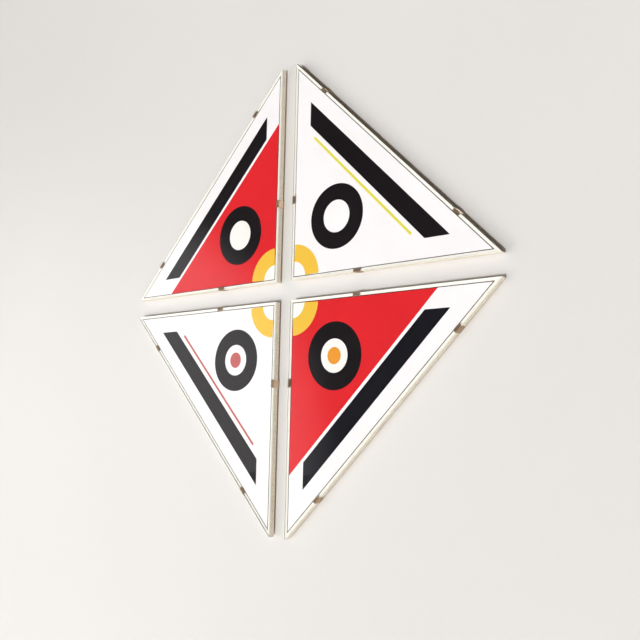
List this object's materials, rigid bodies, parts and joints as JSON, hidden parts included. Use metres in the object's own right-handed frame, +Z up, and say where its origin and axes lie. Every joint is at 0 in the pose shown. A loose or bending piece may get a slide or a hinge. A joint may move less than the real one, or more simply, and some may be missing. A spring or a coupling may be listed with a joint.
{
  "type": "wall hung set of triangular framed prints",
  "caption": "Right-angled triangular prints under clipped glass on backing boards, hung on wall hooks so that together they form a square on its corner.",
  "frame": {"origin": "centre of the four screw holes of the wall hooks, on the wall plane", "axes": "+Z up, +Y into the wall, so the prints face -Y, and +X to the right as seen from the room"},
  "size_m": [1.044, 0.0197, 1.044],
  "materials": {
    "hook_steel": "satin",
    "particle_board": "matte",
    "white_card": "matte",
    "printed_paper": "matte",
    "glass": "gloss",
    "spring_steel": "satin",
    "zinc_steel": "satin",
    "ring_wire": "gloss",
    "rubber": "matte"
  },
  "bodies": {
    "wall_hooks": {"wall_hooks": "hook_steel"},
    "top_left_ring": {"top_left_ring": "ring_wire"},
    "top_left_panel": {"top_left_board": "particle_board", "top_left_card": "white_card", "top_left_print": "printed_paper", "top_left_glass": "glass", "top_left_screws": "zinc_steel", "top_left_hanger": "zinc_steel", "top_left_bumpers": "rubber"},
    "top_left_slant_clip_high": {"top_left_slant_clip_high": "spring_steel"},
    "top_left_slant_clip_low": {"top_left_slant_clip_low": "spring_steel"},
    "top_left_level_clip": {"top_left_level_clip": "spring_steel"},
    "top_left_upright_clip": {"top_left_upright_clip": "spring_steel"},
    "top_right_ring": {"top_right_ring": "ring_wire"},
    "top_right_panel": {"top_right_board": "particle_board", "top_right_card": "white_card", "top_right_print": "printed_paper", "top_right_glass": "glass", "top_right_screws": "zinc_steel", "top_right_hanger": "zinc_steel", "top_right_bumpers": "rubber"},
    "top_right_slant_clip_high": {"top_right_slant_clip_high": "spring_steel"},
    "top_right_slant_clip_low": {"top_right_slant_clip_low": "spring_steel"},
    "top_right_level_clip": {"top_right_level_clip": "spring_steel"},
    "top_right_upright_clip": {"top_right_upright_clip": "spring_steel"},
    "bottom_left_ring": {"bottom_left_ring": "ring_wire"},
    "bottom_left_panel": {"bottom_left_board": "particle_board", "bottom_left_card": "white_card", "bottom_left_print": "printed_paper", "bottom_left_glass": "glass", "bottom_left_screws": "zinc_steel", "bottom_left_hanger": "zinc_steel", "bottom_left_bumpers": "rubber"},
    "bottom_left_slant_clip_high": {"bottom_left_slant_clip_high": "spring_steel"},
    "bottom_left_slant_clip_low": {"bottom_left_slant_clip_low": "spring_steel"},
    "bottom_left_level_clip": {"bottom_left_level_clip": "spring_steel"},
    "bottom_left_upright_clip": {"bottom_left_upright_clip": "spring_steel"},
    "bottom_right_ring": {"bottom_right_ring": "ring_wire"},
    "bottom_right_panel": {"bottom_right_board": "particle_board", "bottom_right_card": "white_card", "bottom_right_print": "printed_paper", "bottom_right_glass": "glass", "bottom_right_screws": "zinc_steel", "bottom_right_hanger": "zinc_steel", "bottom_right_bumpers": "rubber"},
    "bottom_right_slant_clip_high": {"bottom_right_slant_clip_high": "spring_steel"},
    "bottom_right_slant_clip_low": {"bottom_right_slant_clip_low": "spring_steel"},
    "bottom_right_level_clip": {"bottom_right_level_clip": "spring_steel"},
    "bottom_right_upright_clip": {"bottom_right_upright_clip": "spring_steel"}
  },
  "joints": [
    {"name": "top_left_lift", "type": "slide", "parent": "wall_hooks", "child": "top_left_ring", "axis": [0, 0, 1], "range_m": [0, 0.012]},
    {"name": "top_left_sway", "type": "hinge", "parent": "top_left_ring", "child": "top_left_panel", "pos_m": [-0.18867, -0.002, 0.141], "axis": [0, -1, 0], "range_deg": [-2.5, 2.5]},
    {"name": "top_left_slant_clip_high_slide", "type": "slide", "parent": "top_left_panel", "child": "top_left_slant_clip_high", "axis": [-0.7071, 0, 0.7071], "range_m": [0, 0.008]},
    {"name": "top_left_slant_clip_low_slide", "type": "slide", "parent": "top_left_panel", "child": "top_left_slant_clip_low", "axis": [-0.7071, 0, 0.7071], "range_m": [0, 0.008]},
    {"name": "top_left_level_clip_slide", "type": "slide", "parent": "top_left_panel", "child": "top_left_level_clip", "axis": [0, 0, -1], "range_m": [0, 0.008]},
    {"name": "top_left_upright_clip_slide", "type": "slide", "parent": "top_left_panel", "child": "top_left_upright_clip", "axis": [1, 0, 0], "range_m": [0, 0.008]},
    {"name": "top_right_lift", "type": "slide", "parent": "wall_hooks", "child": "top_right_ring", "axis": [0, 0, 1], "range_m": [0, 0.012]},
    {"name": "top_right_sway", "type": "hinge", "parent": "top_right_ring", "child": "top_right_panel", "pos_m": [0.18867, -0.002, 0.141], "axis": [0, -1, 0], "range_deg": [-2.5, 2.5]},
    {"name": "top_right_slant_clip_high_slide", "type": "slide", "parent": "top_right_panel", "child": "top_right_slant_clip_high", "axis": [0.7071, 0, 0.7071], "range_m": [0, 0.008]},
    {"name": "top_right_slant_clip_low_slide", "type": "slide", "parent": "top_right_panel", "child": "top_right_slant_clip_low", "axis": [0.7071, 0, 0.7071], "range_m": [0, 0.008]},
    {"name": "top_right_level_clip_slide", "type": "slide", "parent": "top_right_panel", "child": "top_right_level_clip", "axis": [0, 0, -1], "range_m": [0, 0.008]},
    {"name": "top_right_upright_clip_slide", "type": "slide", "parent": "top_right_panel", "child": "top_right_upright_clip", "axis": [-1, 0, 0], "range_m": [0, 0.008]},
    {"name": "bottom_left_lift", "type": "slide", "parent": "wall_hooks", "child": "bottom_left_ring", "axis": [0, 0, 1], "range_m": [0, 0.012]},
    {"name": "bottom_left_sway", "type": "hinge", "parent": "bottom_left_ring", "child": "bottom_left_panel", "pos_m": [-0.18867, -0.002, -0.209], "axis": [0, -1, 0], "range_deg": [-2.5, 2.5]},
    {"name": "bottom_left_slant_clip_high_slide", "type": "slide", "parent": "bottom_left_panel", "child": "bottom_left_slant_clip_high", "axis": [-0.7071, 0, -0.7071], "range_m": [0, 0.008]},
    {"name": "bottom_left_slant_clip_low_slide", "type": "slide", "parent": "bottom_left_panel", "child": "bottom_left_slant_clip_low", "axis": [-0.7071, 0, -0.7071], "range_m": [0, 0.008]},
    {"name": "bottom_left_level_clip_slide", "type": "slide", "parent": "bottom_left_panel", "child": "bottom_left_level_clip", "axis": [0, 0, 1], "range_m": [0, 0.008]},
    {"name": "bottom_left_upright_clip_slide", "type": "slide", "parent": "bottom_left_panel", "child": "bottom_left_upright_clip", "axis": [1, 0, 0], "range_m": [0, 0.008]},
    {"name": "bottom_right_lift", "type": "slide", "parent": "wall_hooks", "child": "bottom_right_ring", "axis": [0, 0, 1], "range_m": [0, 0.012]},
    {"name": "bottom_right_sway", "type": "hinge", "parent": "bottom_right_ring", "child": "bottom_right_panel", "pos_m": [0.18867, -0.002, -0.209], "axis": [0, -1, 0], "range_deg": [-2.5, 2.5]},
    {"name": "bottom_right_slant_clip_high_slide", "type": "slide", "parent": "bottom_right_panel", "child": "bottom_right_slant_clip_high", "axis": [0.7071, 0, -0.7071], "range_m": [0, 0.008]},
    {"name": "bottom_right_slant_clip_low_slide", "type": "slide", "parent": "bottom_right_panel", "child": "bottom_right_slant_clip_low", "axis": [0.7071, 0, -0.7071], "range_m": [0, 0.008]},
    {"name": "bottom_right_level_clip_slide", "type": "slide", "parent": "bottom_right_panel", "child": "bottom_right_level_clip", "axis": [0, 0, 1], "range_m": [0, 0.008]},
    {"name": "bottom_right_upright_clip_slide", "type": "slide", "parent": "bottom_right_panel", "child": "bottom_right_upright_clip", "axis": [-1, 0, 0], "range_m": [0, 0.008]}
  ]
}
